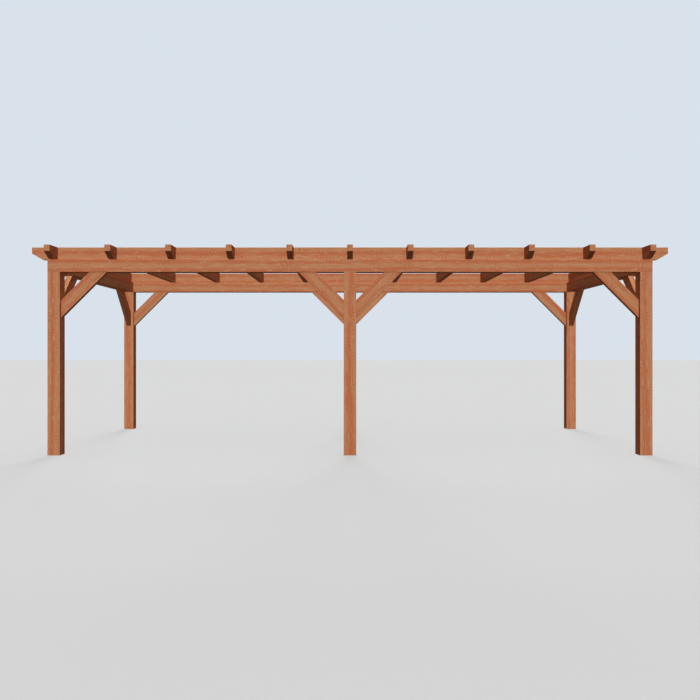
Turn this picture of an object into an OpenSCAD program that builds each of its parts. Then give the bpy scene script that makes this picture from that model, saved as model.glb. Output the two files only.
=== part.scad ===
// Open-rafter patio cover: two rows of square posts carry a ring of square headers, and a grid
// of lapped beams and rafters lies on the ring. Knee braces stiffen every post.
// Millimetres. +Z is up, -Y is the front, and the origin is on the paving under the middle.

/* [Layout] */
// Distance between the centres of the end posts, along the front
post_span = 6650; // [4600:10:9000]
// Distance between the centres of the front and back posts
post_depth = 2760; // [2200:10:4000]
// Height of the posts, from the paving to the underside of the headers
post_h = 2060; // [1600:10:2800]
// How far beams and rafters reach past the outer faces of the posts
overhang = 190; // [170:5:450]
// Number of rafters, the end ones over the end posts
rafter_count = 11; // [5:2:17]

/* [Posts and headers] */
// Side of the square posts, and width of the headers that lie on them
post_w = 140; // [90:1:180]
// Height of the headers
header_h = 140; // [90:1:200]

/* [Beams and rafters] */
// Height of the beams and rafters, which are flush at top and bottom
roof_h = 140; // [110:1:170]
// Thickness of the front and back beams
beam_t = 64; // [35:1:80]
// Thickness of the rafters
rafter_t = 64; // [35:1:80]
// Height of the square nose left at each tail
tail_nose = 70; // [50:1:90]
// Slope of the tail cut under the nose, in degrees
tail_slope = 30; // [30:1:60]
// Play across each half lap between a beam and a rafter
lap_play = 1; // [0.5:0.5:3]

/* [Knee braces] */
// How far a brace reaches down its post, and as far along its header
brace_reach = 510; // [340:10:900]
// Width of a brace, seen from its side
brace_w = 140; // [70:1:160]
// Thickness of a brace
brace_t = 64; // [35:1:80]

/* [Finish] */
// Size of the eased corner along every planed timber
edge_ease = 1.5; // [0.5:0.5:6]

/* [Hidden] */
stain = [0.70, 0.43, 0.29];

// Places across the plan: rows run along X, sides along Y
ROWS = [["front", -1], ["back", 1]];
SIDES = [["left", -1], ["right", 1]];
POSTS = [["left", -1], ["middle", 0], ["right", 1]];
// Braces in a row: name, the post they stand on, and the way they lean
ROW_BRACES = [["left", -1, 1], ["middle_left", 0, -1], ["middle_right", 0, 1], ["right", 1, -1]];

half_span = post_span / 2;
half_depth = post_depth / 2;

// Levels, from the paving up
header_z = post_h;
roof_z = header_z + header_h;

// Lengths of the timbers
row_header_l = post_span + post_w;
side_header_l = post_depth - post_w;
beam_l = row_header_l + 2 * overhang;
rafter_l = post_depth + post_w + 2 * overhang;

rafter_step = post_span / (rafter_count - 1);
lap_h = roof_h / 2;
tail_run = (roof_h - tail_nose) / tan(tail_slope);

brace_angle = 45;
// Depth below the header at which the middle of a brace meets the post
brace_foot = brace_reach - brace_w / (2 * cos(brace_angle));

// How far a cutting tool runs past the timber that it cuts
cut_past = 20;

function rafter_name(i) = str("rafter_", i < 10 ? "0" : "", i);
function rafter_x(i) = (i - 1) * rafter_step - half_span;

// Planed section centred on the origin, with its four corners eased
module planed_section(width, height) {
    x = width / 2;
    y = height / 2;
    polygon([
        [x - edge_ease, -y], [x, edge_ease - y], [x, y - edge_ease], [x - edge_ease, y],
        [edge_ease - x, y], [-x, y - edge_ease], [-x, edge_ease - y], [edge_ease - x, -y]
    ]);
}

// Planed timber along X, centred on the origin in X and Y, with its underside at z = 0
module timber(length, width, height) {
    translate([-length / 2, 0, height / 2])
        rotate([90, 0, 90])
            linear_extrude(height = length)
                planed_section(width, height);
}

// Timber along X with a tail at each end: a square nose, and an underside sloped up to it
module tailed_timber(length, thickness) {
    end = length / 2;
    intersection() {
        timber(length, thickness, roof_h);
        translate([0, thickness / 2 + cut_past, 0])
            rotate([90, 0, 0])
                linear_extrude(height = thickness + 2 * cut_past)
                    polygon([
                        [-end, roof_h], [-end, roof_h - tail_nose], [tail_run - end, 0],
                        [end - tail_run, 0], [end, roof_h - tail_nose], [end, roof_h]
                    ]);
    }
}

// Cutter for half of a lap across a timber that runs along X: its crossing timber is
// `crossing` thick, and the cut starts at height `bottom`
module lap_cut(crossing, thickness, bottom) {
    cut_l = crossing + lap_play;
    cut_w = thickness + 2 * cut_past;
    translate([-cut_l / 2, -cut_w / 2, bottom])
        cube([cut_l, cut_w, lap_h + cut_past]);
}

// Square post standing on the paving, with its head under the header
module post(row, post) {
    color(stain)
        translate([post[1] * half_span, row[1] * half_depth, 0])
            linear_extrude(height = post_h)
                planed_section(post_w, post_w);
}

// Header over a whole row of posts
module row_header(row) {
    color(stain)
        translate([0, row[1] * half_depth, header_z])
            timber(row_header_l, post_w, header_h);
}

// Header along a side, fitted between the two row headers
module side_header(side) {
    color(stain)
        translate([side[1] * half_span, 0, header_z])
            rotate([0, 0, 90])
                timber(side_header_l, post_w, header_h);
}

// Knee brace against a post face at x = 0 and a header underside at z = 0, leaning towards +X
module knee_brace() {
    side = brace_reach + cut_past;
    intersection() {
        translate([0, 0, -brace_foot])
            rotate([0, -brace_angle, 0])
                translate([0, 0, -brace_w / 2])
                    timber(4 * brace_reach, brace_t, brace_w);
        translate([0, -side / 2, -side])
            cube(side);
    }
}

// Brace in a row, in line with the front or back header
module row_brace(row, spot) {
    color(stain)
        translate([spot[1] * half_span + spot[2] * post_w / 2, row[1] * half_depth, header_z])
            rotate([0, 0, spot[2] > 0 ? 0 : 180])
                knee_brace();
}

// Brace from a corner post to the side header
module side_brace(side, row) {
    color(stain)
        translate([side[1] * half_span, row[1] * (half_depth - post_w / 2), header_z])
            rotate([0, 0, -90 * row[1]])
                knee_brace();
}

// Beam on a row header, lapped from above to take the rafters
module beam(row) {
    color(stain)
        translate([0, row[1] * half_depth, roof_z])
            difference() {
                tailed_timber(beam_l, beam_t);
                for (i = [1:rafter_count])
                    translate([rafter_x(i), 0, 0])
                        lap_cut(rafter_t, beam_t, lap_h);
            }
}

// Rafter from front to back, lapped from below over both beams
module rafter(i) {
    color(stain)
        translate([rafter_x(i), 0, roof_z])
            rotate([0, 0, 90])
                difference() {
                    tailed_timber(rafter_l, rafter_t);
                    for (row = ROWS)
                        translate([row[1] * half_depth, 0, 0])
                            lap_cut(beam_t, rafter_t, -cut_past);
                }
}

for (row = ROWS, post = POSTS)
    post(row, post);
for (row = ROWS)
    row_header(row);
for (side = SIDES)
    side_header(side);
for (row = ROWS, spot = ROW_BRACES)
    row_brace(row, spot);
for (side = SIDES, row = ROWS)
    side_brace(side, row);
for (row = ROWS)
    beam(row);
for (i = [1:rafter_count])
    rafter(i);
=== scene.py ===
"""Open-rafter patio cover in stained redwood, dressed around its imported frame.
Metres, with +Z up and the front at -Y."""

import math

import bmesh
import bpy
from mathutils import Euler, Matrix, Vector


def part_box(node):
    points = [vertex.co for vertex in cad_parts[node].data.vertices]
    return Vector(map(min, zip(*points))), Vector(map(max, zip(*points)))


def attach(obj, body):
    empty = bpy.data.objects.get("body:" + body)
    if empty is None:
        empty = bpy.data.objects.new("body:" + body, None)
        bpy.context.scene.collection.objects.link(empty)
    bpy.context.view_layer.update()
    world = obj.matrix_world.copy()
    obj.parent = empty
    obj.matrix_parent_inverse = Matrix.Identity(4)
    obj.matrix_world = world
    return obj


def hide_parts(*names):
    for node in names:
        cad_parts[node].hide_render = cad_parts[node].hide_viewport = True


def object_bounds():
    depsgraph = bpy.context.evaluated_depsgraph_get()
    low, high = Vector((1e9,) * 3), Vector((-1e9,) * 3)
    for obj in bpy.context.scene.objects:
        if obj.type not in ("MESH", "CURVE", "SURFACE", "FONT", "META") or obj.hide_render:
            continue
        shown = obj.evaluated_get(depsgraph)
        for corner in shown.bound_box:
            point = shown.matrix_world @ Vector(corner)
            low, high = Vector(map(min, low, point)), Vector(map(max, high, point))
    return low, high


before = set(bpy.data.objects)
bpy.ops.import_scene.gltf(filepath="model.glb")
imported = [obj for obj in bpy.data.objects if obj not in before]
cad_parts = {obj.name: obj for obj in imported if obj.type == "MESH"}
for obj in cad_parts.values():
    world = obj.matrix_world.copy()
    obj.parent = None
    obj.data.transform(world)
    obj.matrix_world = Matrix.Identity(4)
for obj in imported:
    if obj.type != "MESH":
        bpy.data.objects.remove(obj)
cad_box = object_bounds()

# ---------------------------------------------------------------- camera
# A level camera in front of the middle post, a little above waist height, as
# someone would stand on the lawn to see the whole front of the cover.

FRONT_FACE_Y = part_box("post_front_middle")[0].y
CAMERA_BACK = 8.131
CAMERA_HEIGHT = 1.1725
SENSOR_WIDTH = 36.0
LENS = 37.27
SHIFT_UP = 0.0014

camera_data = bpy.data.cameras.new("camera")
camera_data.sensor_width = SENSOR_WIDTH
camera_data.lens = LENS
camera_data.shift_y = SHIFT_UP
camera_data.clip_end = 400.0
camera = bpy.data.objects.new("camera", camera_data)
camera.location = (0.0, FRONT_FACE_Y - CAMERA_BACK, CAMERA_HEIGHT)
camera.rotation_euler = (math.radians(90.0), 0.0, 0.0)
bpy.context.scene.collection.objects.link(camera)
bpy.context.scene.camera = camera
bpy.context.scene.view_settings.view_transform = "Standard"

# ---------------------------------------------------------------- posts
# Six square redwood posts, planed on four sides with eased corners, sawn square
# at both ends and stood straight on the paving. All the timber in the cover is the
# same stock under the same reddish-brown stain, so its finish is made here first.

POST_PLACES = ("left", "middle", "right")


def link(tree, start, end):
    tree.links.new(start, end)


def feed(tree, socket, value):
    """Puts a number in a socket, or joins another socket to it."""
    if isinstance(value, bpy.types.NodeSocket):
        link(tree, value, socket)
    else:
        socket.default_value = value


def maths(tree, operation, a, b=None, clamp=False):
    """One Math node. a and b are numbers or sockets."""
    node = tree.nodes.new("ShaderNodeMath")
    node.operation = operation
    node.use_clamp = clamp
    feed(tree, node.inputs[0], a)
    if b is not None:
        feed(tree, node.inputs[1], b)
    return node.outputs["Value"]


def total(tree, *parts):
    """Sum of (value, share) pairs."""
    whole = maths(tree, "MULTIPLY", *parts[0])
    for part in parts[1:]:
        whole = maths(tree, "ADD", whole, maths(tree, "MULTIPLY", *part))
    return whole


def span(tree, a, b):
    """Length of the vector (a, b)."""
    squares = total(tree, (maths(tree, "POWER", a, 2.0), 1.0), (maths(tree, "POWER", b, 2.0), 1.0))
    return maths(tree, "SQRT", squares)


def ramp(tree, value, low, high, from_out=0.0, to_out=1.0, smooth=True):
    """Value mapped from low..high to from_out..to_out, clamped."""
    node = tree.nodes.new("ShaderNodeMapRange")
    node.interpolation_type = "SMOOTHSTEP" if smooth else "LINEAR"
    node.inputs["From Min"].default_value = low
    node.inputs["From Max"].default_value = high
    node.inputs["To Min"].default_value = from_out
    node.inputs["To Max"].default_value = to_out
    feed(tree, node.inputs["Value"], value)
    return node.outputs["Result"]


def cloud(tree, place, sizes, detail=2.0, rough=0.5):
    """Noise from 0 to 1 at a place given by up to three sockets, with features of those sizes."""
    at = tree.nodes.new("ShaderNodeCombineXYZ")
    for socket, value, size in zip(at.inputs, place, sizes):
        feed(tree, socket, maths(tree, "DIVIDE", value, size))
    noise = tree.nodes.new("ShaderNodeTexNoise")
    noise.inputs["Scale"].default_value = 1.0
    noise.inputs["Detail"].default_value = detail
    noise.inputs["Roughness"].default_value = rough
    link(tree, at.outputs["Vector"], noise.inputs["Vector"])
    return noise.outputs["Fac"]


def mix_colour(tree, share, a, b):
    """Colour a with that share of colour b in it. Colours are tuples or sockets."""
    node = tree.nodes.new("ShaderNodeMix")
    node.data_type = "RGBA"
    factor = node.inputs[0]
    first = node.inputs[6]
    second = node.inputs[7]
    result = node.outputs[2]
    feed(tree, factor, share)
    for socket, value in ((first, a), (second, b)):
        feed(tree, socket, (*value, 1.0) if isinstance(value, tuple) else value)
    return result


def number_of(tree, attribute, output="Fac"):
    """An attribute of the mesh, as a number unless another output is named."""
    node = tree.nodes.new("ShaderNodeAttribute")
    node.attribute_name = attribute
    return node.outputs[output]


def parts_of(tree, attribute):
    """The three parts of a vector attribute."""
    split = tree.nodes.new("ShaderNodeSeparateXYZ")
    link(tree, number_of(tree, attribute, "Vector"), split.inputs["Vector"])
    return split.outputs["X"], split.outputs["Y"], split.outputs["Z"]


# Colours of the wood under its stain
RED_BAND = (0.461, 0.155, 0.070)
TAN_WOOD = (0.480, 0.238, 0.1165)
PALE_FLECK = (0.560, 0.370, 0.220)
LATE_WOOD = (0.330, 0.092, 0.040)

# Spacing in metres of the rings, the colour bands and the bars of a curl
RING_PITCH = 0.0046
BAND_PITCH = 0.086
CURL_PITCH = 0.038

# Sizes in metres of what varies freely, first along the grain and then across it
WANDER_SIZE = (0.95, 0.12, 0.12)
RIPPLE_SIZE = (0.16, 0.03, 0.03)
SWAY_SIZE = (2.2, 0.30, 0.30)
BROAD_SIZE = (1.6, 0.045, 0.045)
RAGGED_SIZE = (0.20, 0.009, 0.10)
FLECK_SIZE = (0.10, 0.010, 0.010)
BEND_SIZE = (0.20, 0.05, 0.05)
CURL_SIZE = (0.15, 0.05, 0.05)
FIBRE_SIZE = (0.06, 0.0009, 0.0009)

# How far rings wander and ripple, in metres, and how far bands and bars stray, in turns
WANDER_DEPTH = 0.050
RIPPLE_DEPTH = 0.008
BAND_STRAY = 0.6
BAR_STRAY = 2.0

# What makes a spot paler: its band, broad and ragged streaks, and lying on a sawn end
BAND_PALER = 0.13
BROAD_PALER = 0.26
RAGGED_PALER = 0.54
END_PALER = 0.05

# Where each feature of the figure starts to show, and where it shows in full
TAN_RANGE = (0.26, 0.45)
FLECK_RANGE = (0.58, 0.72)
BAR_RANGE = (-0.4, 1.0)
CURL_RANGE = (0.48, 0.62)
CURL_EDGE_RANGE = (0.35, 0.60)
FIBRE_RANGE = (0.5, 0.75)

# Flecks and curls fade out as a face turns from the side of a timber to its end
SIDE_RANGE = (0.9, 0.4)

# Part of a year's ring over which late wood darkens, and the part over which it ends
DARKENING_RANGE = (0.35, 0.9)
YEAR_END_RANGE = (1.0, 0.93)

# How strongly flecks, late wood and fibres colour the wood, and a curl where it is faintest
FLECK_SHARE = 0.65
CURL_LEAST = 0.35
LATE_SHARE = 0.42
LATE_SHARE_MORE_ON_ENDS = 0.2
FIBRE_SHARE = 0.35

# Roughness of the stained wood, and the depth of its grain, part late wood, part fibres
ROUGH_LEAST = 0.58
ROUGH_SWING = 0.18
GRAIN_STRENGTH = 0.35
GRAIN_DEPTH = 0.0006
LATE_RELIEF = 0.5
FIBRE_RELIEF = 0.8


def stained_redwood(name):
    """Redwood under a semi-transparent stain. It reads three attributes of the timber: grain,
    its place in the log from the heart, end_on, 1 on sawn ends, and tone, the log's own number."""
    material = bpy.data.materials.new(name)
    material.use_nodes = True
    tree = material.node_tree
    shader = tree.nodes["Principled BSDF"]
    shader.inputs["Specular IOR Level"].default_value = 0.0
    along, wide, deep = parts_of(tree, "grain")
    end_on = number_of(tree, "end_on")
    sideways = ramp(tree, end_on, *SIDE_RANGE)

    # Distance from the heart, bent by the way the trunk wandered as it grew
    place = (along, wide, deep)
    off_heart = span(tree, wide, deep)
    wander = cloud(tree, place, WANDER_SIZE, detail=2.0)
    ripple = cloud(tree, place, RIPPLE_SIZE, detail=1.0)
    radius = total(tree, (off_heart, 1.0), (wander, WANDER_DEPTH), (ripple, RIPPLE_DEPTH))

    # Red and tan bands of heartwood follow the rings the whole length of a timber, a few
    # fingers wide, with ragged edges
    sway = cloud(tree, place, SWAY_SIZE, detail=1.0)
    tone = number_of(tree, "tone")
    turns = total(tree, (off_heart, 1.0 / BAND_PITCH), (sway, BAND_STRAY), (tone, 1.0))
    swing = maths(tree, "SINE", maths(tree, "MULTIPLY", turns, math.tau))
    broad = cloud(tree, place, BROAD_SIZE, detail=1.0)
    ragged = cloud(tree, (along, radius, wide), RAGGED_SIZE, detail=2.0, rough=0.6)
    paler = total(
        tree, (swing, BAND_PALER), (broad, BROAD_PALER), (ragged, RAGGED_PALER),
        (end_on, END_PALER),
    )
    colour = mix_colour(tree, ramp(tree, paler, *TAN_RANGE), RED_BAND, TAN_WOOD)

    # Short pale flecks, and here and there a curl whose faint bars cross the grain
    fleck = ramp(tree, cloud(tree, place, FLECK_SIZE, detail=1.0), *FLECK_RANGE)
    fleck = maths(tree, "MULTIPLY", fleck, sideways)
    colour = mix_colour(tree, maths(tree, "MULTIPLY", fleck, FLECK_SHARE), colour, PALE_FLECK)
    bend = cloud(tree, place, BEND_SIZE, detail=0.0)
    turns = total(tree, (along, 1.0 / CURL_PITCH), (bend, BAR_STRAY))
    swing = maths(tree, "SINE", maths(tree, "MULTIPLY", turns, math.tau))
    bars = ramp(tree, swing, *BAR_RANGE)
    patch = ramp(tree, cloud(tree, place, CURL_SIZE, detail=1.0), *CURL_RANGE)
    curl = maths(tree, "MULTIPLY", maths(tree, "MULTIPLY", bars, patch), sideways)
    torn = ramp(tree, ragged, *CURL_EDGE_RANGE, from_out=CURL_LEAST)
    curl = maths(tree, "MULTIPLY", curl, torn)
    colour = mix_colour(tree, curl, colour, RED_BAND)

    # Each year ends in a thin dark line of late wood, plainest on a sawn end
    year_part = maths(tree, "FRACT", maths(tree, "DIVIDE", radius, RING_PITCH))
    darkening = ramp(tree, year_part, *DARKENING_RANGE)
    year_end = ramp(tree, year_part, *YEAR_END_RANGE)
    late = maths(tree, "MULTIPLY", darkening, year_end)
    strength = total(tree, (1.0, LATE_SHARE), (end_on, LATE_SHARE_MORE_ON_ENDS))
    colour = mix_colour(tree, maths(tree, "MULTIPLY", late, strength), colour, LATE_WOOD)

    # Fibres and pores
    fibre = cloud(tree, place, FIBRE_SIZE, detail=3.0, rough=0.65)
    pores = ramp(tree, fibre, *FIBRE_RANGE, to_out=FIBRE_SHARE)
    colour = mix_colour(tree, pores, colour, LATE_WOOD)
    link(tree, colour, shader.inputs["Base Color"])
    roughness = total(tree, (fibre, ROUGH_SWING), (1.0, ROUGH_LEAST))
    link(tree, roughness, shader.inputs["Roughness"])

    bump = tree.nodes.new("ShaderNodeBump")
    bump.inputs["Strength"].default_value = GRAIN_STRENGTH
    bump.inputs["Distance"].default_value = GRAIN_DEPTH
    relief = total(tree, (late, LATE_RELIEF), (fibre, FIBRE_RELIEF))
    link(tree, relief, bump.inputs["Height"])
    link(tree, bump.outputs["Normal"], shader.inputs["Normal"])
    return material


ARRIS_ROUND = 0.0005
ARRIS_STEPS = 2
FLAT_ANGLE = math.radians(5.0)
SAME_POINT = 0.00002


def timber_from(node, turn, name):
    """A timber in its own frame, length along X and centred on the origin: a joined-up
    copy of the solid in that node, turned by `turn`, with its corners rounded off."""
    low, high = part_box(node)
    built = bmesh.new()
    built.from_mesh(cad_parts[node].data)
    bmesh.ops.translate(built, verts=built.verts, vec=-(low + high) / 2)
    bmesh.ops.rotate(built, verts=built.verts, matrix=Euler(turn).to_matrix())
    bmesh.ops.remove_doubles(built, verts=built.verts, dist=SAME_POINT)
    bmesh.ops.dissolve_limit(built, angle_limit=FLAT_ANGLE, verts=built.verts, edges=built.edges)
    corners = [
        edge for edge in built.edges
        if edge.is_manifold and edge.is_convex and edge.calc_face_angle() > FLAT_ANGLE
    ]
    bmesh.ops.bevel(
        built, geom=corners, offset=ARRIS_ROUND, offset_type="OFFSET",
        segments=ARRIS_STEPS, profile=0.5, affect="EDGES", clamp_overlap=True,
    )
    mesh = bpy.data.meshes.new(name)
    built.to_mesh(mesh)
    built.free()
    end_on = mesh.attributes.new("end_on", "FLOAT", "FACE")
    for data, face in zip(end_on.data, mesh.polygons):
        data.value = abs(face.normal.x)
    timber = bpy.data.objects.new(name, mesh)
    bpy.context.scene.collection.objects.link(timber)
    return timber


# Timbers lie up to this many metres apart along the grain, so that no two are alike
GRAIN_REACH = 60.0

# The heart lies off a corner of each timber, this many radians round from a face
OFF_FACE = (0.5, 1.1)


def laying_tree():
    """Geometry Nodes that lay one timber on every seat point. Each copy is sawn clear of the
    heart from its own log: grain holds where it lay in the log, and tone the log's number."""
    tree = bpy.data.node_groups.new("lay_timbers", "GeometryNodeTree")
    face = tree.interface
    face.new_socket("Geometry", in_out="INPUT", socket_type="NodeSocketGeometry")
    face.new_socket("Timber", in_out="INPUT", socket_type="NodeSocketObject")
    face.new_socket("Nearest Heart", in_out="INPUT", socket_type="NodeSocketFloat")
    face.new_socket("Farthest Heart", in_out="INPUT", socket_type="NodeSocketFloat")
    face.new_socket("Seed", in_out="INPUT", socket_type="NodeSocketInt")
    face.new_socket("Material", in_out="INPUT", socket_type="NodeSocketMaterial")
    face.new_socket("Geometry", in_out="OUTPUT", socket_type="NodeSocketGeometry")
    nodes = tree.nodes
    start = nodes.new("NodeGroupInput")
    end = nodes.new("NodeGroupOutput")

    def store(geometry, name, kind, value, domain):
        node = nodes.new("GeometryNodeStoreNamedAttribute")
        node.data_type = kind
        node.domain = domain
        node.inputs["Name"].default_value = name
        link(tree, geometry, node.inputs["Geometry"])
        link(tree, value, node.inputs["Value"])
        return node.outputs["Geometry"]

    def named(name, kind):
        node = nodes.new("GeometryNodeInputNamedAttribute")
        node.data_type = kind
        node.inputs["Name"].default_value = name
        return node.outputs["Attribute"]

    def random(kind, low, high, offset):
        node = nodes.new("FunctionNodeRandomValue")
        node.data_type = kind
        sockets = [s for s in node.inputs if s.enabled]
        for socket, value in zip(sockets, (low, high)):
            feed(tree, socket, value)
        link(tree, maths(tree, "ADD", start.outputs["Seed"], offset), node.inputs["Seed"])
        return [s for s in node.outputs if s.enabled][0]

    timber = nodes.new("GeometryNodeObjectInfo")
    link(tree, start.outputs["Timber"], timber.inputs["Object"])
    place = nodes.new("GeometryNodeInputPosition")
    position = place.outputs["Position"]
    in_timber = store(timber.outputs["Geometry"], "grain", "FLOAT_VECTOR", position, "POINT")

    laid = nodes.new("GeometryNodeInstanceOnPoints")
    link(tree, start.outputs["Geometry"], laid.inputs["Points"])
    link(tree, in_timber, laid.inputs["Instance"])
    turn = nodes.new("FunctionNodeEulerToRotation")
    link(tree, named("turn", "FLOAT_VECTOR"), turn.inputs["Euler"])
    link(tree, turn.outputs["Rotation"], laid.inputs["Rotation"])

    quarter = random("INT", 0, 3, 1)
    off_face = random("FLOAT", *OFF_FACE, 5)
    around = total(tree, (quarter, math.pi / 2), (off_face, 1.0))
    reach = random("FLOAT", start.outputs["Nearest Heart"], start.outputs["Farthest Heart"], 2)
    sine = maths(tree, "SINE", around)
    cosine = maths(tree, "COSINE", around)
    heart = nodes.new("ShaderNodeCombineXYZ")
    link(tree, random("FLOAT", 0.0, GRAIN_REACH, 3), heart.inputs["X"])
    link(tree, maths(tree, "MULTIPLY", sine, reach), heart.inputs["Y"])
    link(tree, maths(tree, "MULTIPLY", cosine, reach), heart.inputs["Z"])
    copies = laid.outputs["Instances"]
    logs = store(copies, "heart", "FLOAT_VECTOR", heart.outputs["Vector"], "INSTANCE")
    logs = store(logs, "tone", "FLOAT", random("FLOAT", 0.0, 1.0, 4), "INSTANCE")

    real = nodes.new("GeometryNodeRealizeInstances")
    link(tree, logs, real.inputs["Geometry"])
    moved = nodes.new("ShaderNodeVectorMath")
    moved.operation = "ADD"
    link(tree, named("grain", "FLOAT_VECTOR"), moved.inputs[0])
    link(tree, named("heart", "FLOAT_VECTOR"), moved.inputs[1])
    whole = real.outputs["Geometry"]
    in_log = store(whole, "grain", "FLOAT_VECTOR", moved.outputs["Vector"], "POINT")
    finish = nodes.new("GeometryNodeSetMaterial")
    link(tree, in_log, finish.inputs["Geometry"])
    link(tree, start.outputs["Material"], finish.inputs["Material"])
    link(tree, finish.outputs["Geometry"], end.inputs["Geometry"])
    return tree


LAY_TIMBERS = laying_tree()


def lay(name, timber, seats, heart, seed, material, nodes):
    """Lays `timber` on each seat, a (place, turn) pair, as one plain mesh in place of nodes.
    heart is how near to the heart of its log a timber is sawn, and how far from it."""
    points = bpy.data.meshes.new(name)
    points.from_pydata([place for place, _ in seats], [], [])
    turns = points.attributes.new("turn", "FLOAT_VECTOR", "POINT")
    for data, (_, turn) in zip(turns.data, seats):
        data.vector = turn
    piece = bpy.data.objects.new(name, points)
    bpy.context.scene.collection.objects.link(piece)
    modifier = piece.modifiers.new("lay", "NODES")
    modifier.node_group = LAY_TIMBERS
    inputs = [item for item in LAY_TIMBERS.interface.items_tree if item.in_out == "INPUT"]
    socket = {item.name: item.identifier for item in inputs}
    modifier[socket["Timber"]] = timber
    modifier[socket["Nearest Heart"]] = heart[0]
    modifier[socket["Farthest Heart"]] = heart[1]
    modifier[socket["Seed"]] = seed
    modifier[socket["Material"]] = material
    bpy.context.view_layer.update()
    evaluated = piece.evaluated_get(bpy.context.evaluated_depsgraph_get())
    mesh = bpy.data.meshes.new_from_object(evaluated)
    piece.modifiers.remove(modifier)
    piece.data = mesh
    bpy.data.meshes.remove(points)
    mesh.name = name
    bpy.data.objects.remove(timber)
    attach(piece, "root")
    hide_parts(*nodes)


def centre_of(node):
    low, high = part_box(node)
    return (low + high) / 2


REDWOOD = stained_redwood("stained_redwood")
UPRIGHT = (0.0, -math.pi / 2, 0.0)
FROM_UPRIGHT = (0.0, math.pi / 2, 0.0)

# Nearest and farthest that the square timbers are sawn from the heart of the log
SQUARE_HEART = (0.16, 0.22)

# Each row is a piece of its own, so that its grain stays fine when the finish is baked
for row, seed in (("front", 9011), ("back", 12)):
    nodes = [f"post_{row}_{place}" for place in POST_PLACES]
    post = timber_from(nodes[0], FROM_UPRIGHT, "post_timber")
    lay(
        f"{row}_posts", post, [(centre_of(n), UPRIGHT) for n in nodes],
        heart=SQUARE_HEART, seed=seed, material=REDWOOD, nodes=nodes,
    )

# ---------------------------------------------------------------- headers
# A ring of redwood headers, of the same section as the posts, lies flush on their heads.
# The front and back ones run the whole length of a row, and the side ones butt between.

ALONG_X = (0.0, 0.0, 0.0)
ALONG_Y = (0.0, 0.0, math.pi / 2)
FROM_ALONG_Y = (0.0, 0.0, -math.pi / 2)

for row, seed in (("front", 23), ("back", 2151)):
    node = f"header_{row}"
    row_header = timber_from(node, ALONG_X, "row_header_timber")
    lay(
        f"{row}_header", row_header, [(centre_of(node), ALONG_X)],
        heart=SQUARE_HEART, seed=seed, material=REDWOOD, nodes=[node],
    )
side_header = timber_from("header_left", FROM_ALONG_Y, "side_header_timber")
side_nodes = ["header_left", "header_right"]
lay(
    "side_headers", side_header, [(centre_of(n), ALONG_Y) for n in side_nodes],
    heart=SQUARE_HEART, seed=31, material=REDWOOD, nodes=side_nodes,
)

# ---------------------------------------------------------------- knee braces
# Short redwood planks on edge at 45 degrees, mitred to a post's face and a header's
# underside and centred on both: four in each row, and one from each corner post to
# the side header.

PLANK_HEART = (0.13, 0.20)
BRACE_SLOPE = math.pi / 4
FROM_BRACE = (0.0, BRACE_SLOPE, 0.0)

# The turn of each brace about the vertical, 0 where it leans towards +X
ROW_SPINS = {"left": 0.0, "middle_left": math.pi, "middle_right": 0.0, "right": math.pi}
SIDE_SPINS = {"front": math.pi / 2, "back": -math.pi / 2}

row_brace = timber_from("brace_front_left", FROM_BRACE, "row_brace_timber")
seats = []
nodes = []
for row in ("front", "back"):
    for place, spin in ROW_SPINS.items():
        nodes.append(f"brace_{row}_{place}")
        seats.append((centre_of(nodes[-1]), (0.0, -BRACE_SLOPE, spin)))
lay(
    "row_braces", row_brace, seats,
    heart=PLANK_HEART, seed=25047, material=REDWOOD, nodes=nodes,
)

side_brace = timber_from("brace_front_left", FROM_BRACE, "side_brace_timber")
seats = []
nodes = []
for side in ("left", "right"):
    for row, spin in SIDE_SPINS.items():
        nodes.append(f"brace_{side}_{row}")
        seats.append((centre_of(nodes[-1]), (0.0, -BRACE_SLOPE, spin)))
lay(
    "side_braces", side_brace, seats,
    heart=PLANK_HEART, seed=10800, material=REDWOOD, nodes=nodes,
)

# ---------------------------------------------------------------- beams
# A beam, a redwood plank thinner than the posts, stands on edge along the middle of
# each row header. Its ends are cut to a tail, and its top is notched halfway down
# wherever a rafter crosses.

for row, seed in (("front", 61), ("back", 4616)):
    node = f"beam_{row}"
    beam = timber_from(node, ALONG_X, "beam_timber")
    lay(
        f"{row}_beam", beam, [(centre_of(node), ALONG_X)],
        heart=PLANK_HEART, seed=seed, material=REDWOOD, nodes=[node],
    )

# ---------------------------------------------------------------- rafters
# Redwood planks like the beams run from front to back at an even spacing, notched
# halfway up over both beams so that the tops lie level, with the same cut tails.

RAFTER_NODES = sorted(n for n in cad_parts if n.startswith("rafter_"))

# Every other rafter goes to a second piece, for the same reason as the posts
for name, first, seed in (("odd_rafters", 0, 7968), ("even_rafters", 1, 19081)):
    nodes = RAFTER_NODES[first::2]
    rafter = timber_from(nodes[0], FROM_ALONG_Y, "rafter_timber")
    lay(
        name, rafter, [(centre_of(n), ALONG_Y) for n in nodes],
        heart=PLANK_HEART, seed=seed, material=REDWOOD, nodes=nodes,
    )

# ---------------------------------------------------------------- floor and light
# A plain pale floor under a pale sky. A sun without shadows shines from the front and
# above, a weaker soft one from behind, and a soft panel stands at each end.

FLOOR_REACH = 84.0
SKY = (0.694, 0.759, 0.831)
FLOOR_PALE = (0.581, 0.646, 0.655)
FLOOR_BOUNCE = (0.098, 0.084, 0.080)
FLOOR_ROUGHNESS = 0.9
AMBIENT_TINT = (1.06, 0.65, 0.61)
AMBIENT_HORIZON = 0.20
AMBIENT_ZENITH = 0.33

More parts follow.
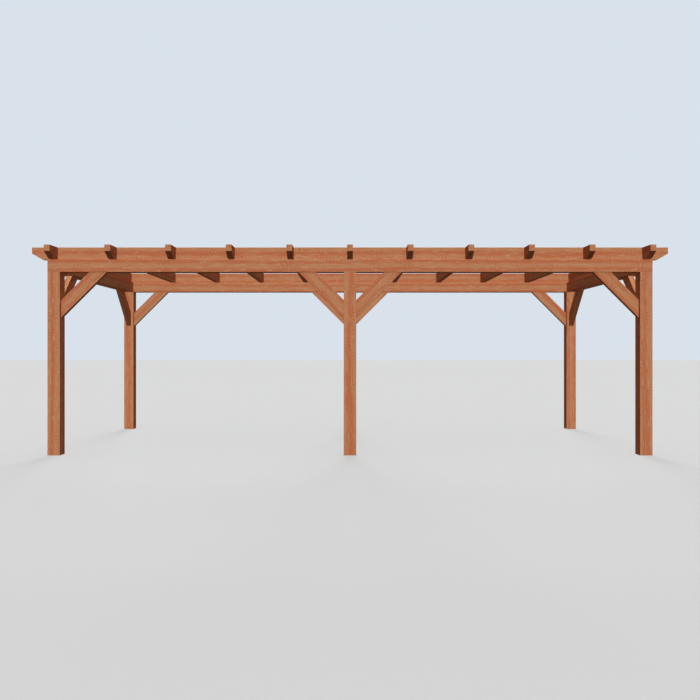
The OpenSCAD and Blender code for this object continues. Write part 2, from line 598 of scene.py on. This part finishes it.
floor_mesh = bpy.data.meshes.new("floor")
floor_corners = [
    (x * FLOOR_REACH, y * FLOOR_REACH, 0.0) for x, y in ((-1, -1), (1, -1), (1, 1), (-1, 1))
]
floor_mesh.from_pydata(floor_corners, [], [(0, 1, 2, 3)])
floor = bpy.data.objects.new("floor", floor_mesh)
bpy.context.scene.collection.objects.link(floor)


def seen_by(tree):
    """1 for a ray straight from the camera or off a glossy or clear surface, otherwise 0."""
    rays = tree.nodes.new("ShaderNodeLightPath")
    seen = maths(tree, "MAXIMUM", rays.outputs["Is Camera Ray"], rays.outputs["Is Glossy Ray"])
    return maths(tree, "MAXIMUM", seen, rays.outputs["Is Transmission Ray"])


floor_finish = bpy.data.materials.new("floor_finish")
floor_finish.use_nodes = True
tree = floor_finish.node_tree
shader = tree.nodes["Principled BSDF"]
link(tree, mix_colour(tree, seen_by(tree), FLOOR_BOUNCE, FLOOR_PALE), shader.inputs["Base Color"])
shader.inputs["Roughness"].default_value = FLOOR_ROUGHNESS
shader.inputs["Specular IOR Level"].default_value = 0.0
floor_mesh.materials.append(floor_finish)

world = bpy.data.worlds.new("pale_sky")
bpy.context.scene.world = world
world.use_nodes = True
tree = world.node_tree
aim = tree.nodes.new("ShaderNodeTexCoord")
split = tree.nodes.new("ShaderNodeSeparateXYZ")
link(tree, aim.outputs["Generated"], split.inputs["Vector"])
level = ramp(tree, split.outputs["Z"], 0.0, 1.0, AMBIENT_HORIZON, AMBIENT_ZENITH, smooth=False)
ambient = tree.nodes.new("ShaderNodeCombineXYZ")
for socket, tint in zip(ambient.inputs, AMBIENT_TINT):
    link(tree, maths(tree, "MULTIPLY", level, tint), socket)
seen_sky = mix_colour(tree, seen_by(tree), ambient.outputs["Vector"], SKY)
link(tree, seen_sky, tree.nodes["Background"].inputs["Color"])


def soft_sun(name, azimuth, elevation, strength, spread, shadow):
    """A sun that shines from that azimuth, 0 at the front and 90 at +X, at that elevation."""
    data = bpy.data.lights.new(name, "SUN")
    data.energy = strength
    data.angle = math.radians(spread)
    data.use_shadow = shadow
    lamp = bpy.data.objects.new(name, data)
    lamp.rotation_euler = (math.radians(90.0 - elevation), 0.0, math.radians(azimuth))
    bpy.context.scene.collection.objects.link(lamp)


soft_sun("front_light", azimuth=2.0, elevation=43.0, strength=3.42, spread=2.0, shadow=False)
soft_sun("back_light", azimuth=180.0, elevation=14.0, strength=2.1, spread=25.0, shadow=True)

# Panels that light the ends of the cover and fade towards its middle
PANEL_POWER = 9.0
PANEL_SPREAD = math.radians(90.0)
PANEL_GAP = 1.2
PANEL_TINT = (1.0, 0.95, 0.95)
not_floor = bpy.data.collections.new("lit_by_panels")
not_floor.objects.link(floor)
not_floor.collection_objects[0].light_linking.link_state = "EXCLUDE"
for side in (-1, 1):
    data = bpy.data.lights.new("end_panel", "AREA")
    data.shape = "RECTANGLE"
    data.size = cad_box[1].y - cad_box[0].y
    data.size_y = cad_box[1].z
    data.energy = PANEL_POWER
    data.spread = PANEL_SPREAD
    data.color = PANEL_TINT
    panel = bpy.data.objects.new("end_panel", data)
    panel.location = (side * (cad_box[1].x + PANEL_GAP), 0.0, cad_box[1].z / 2)
    panel.rotation_euler = (math.pi / 2, 0.0, side * math.pi / 2)
    panel.visible_camera = False
    panel.light_linking.receiver_collection = not_floor
    bpy.context.scene.collection.objects.link(panel)
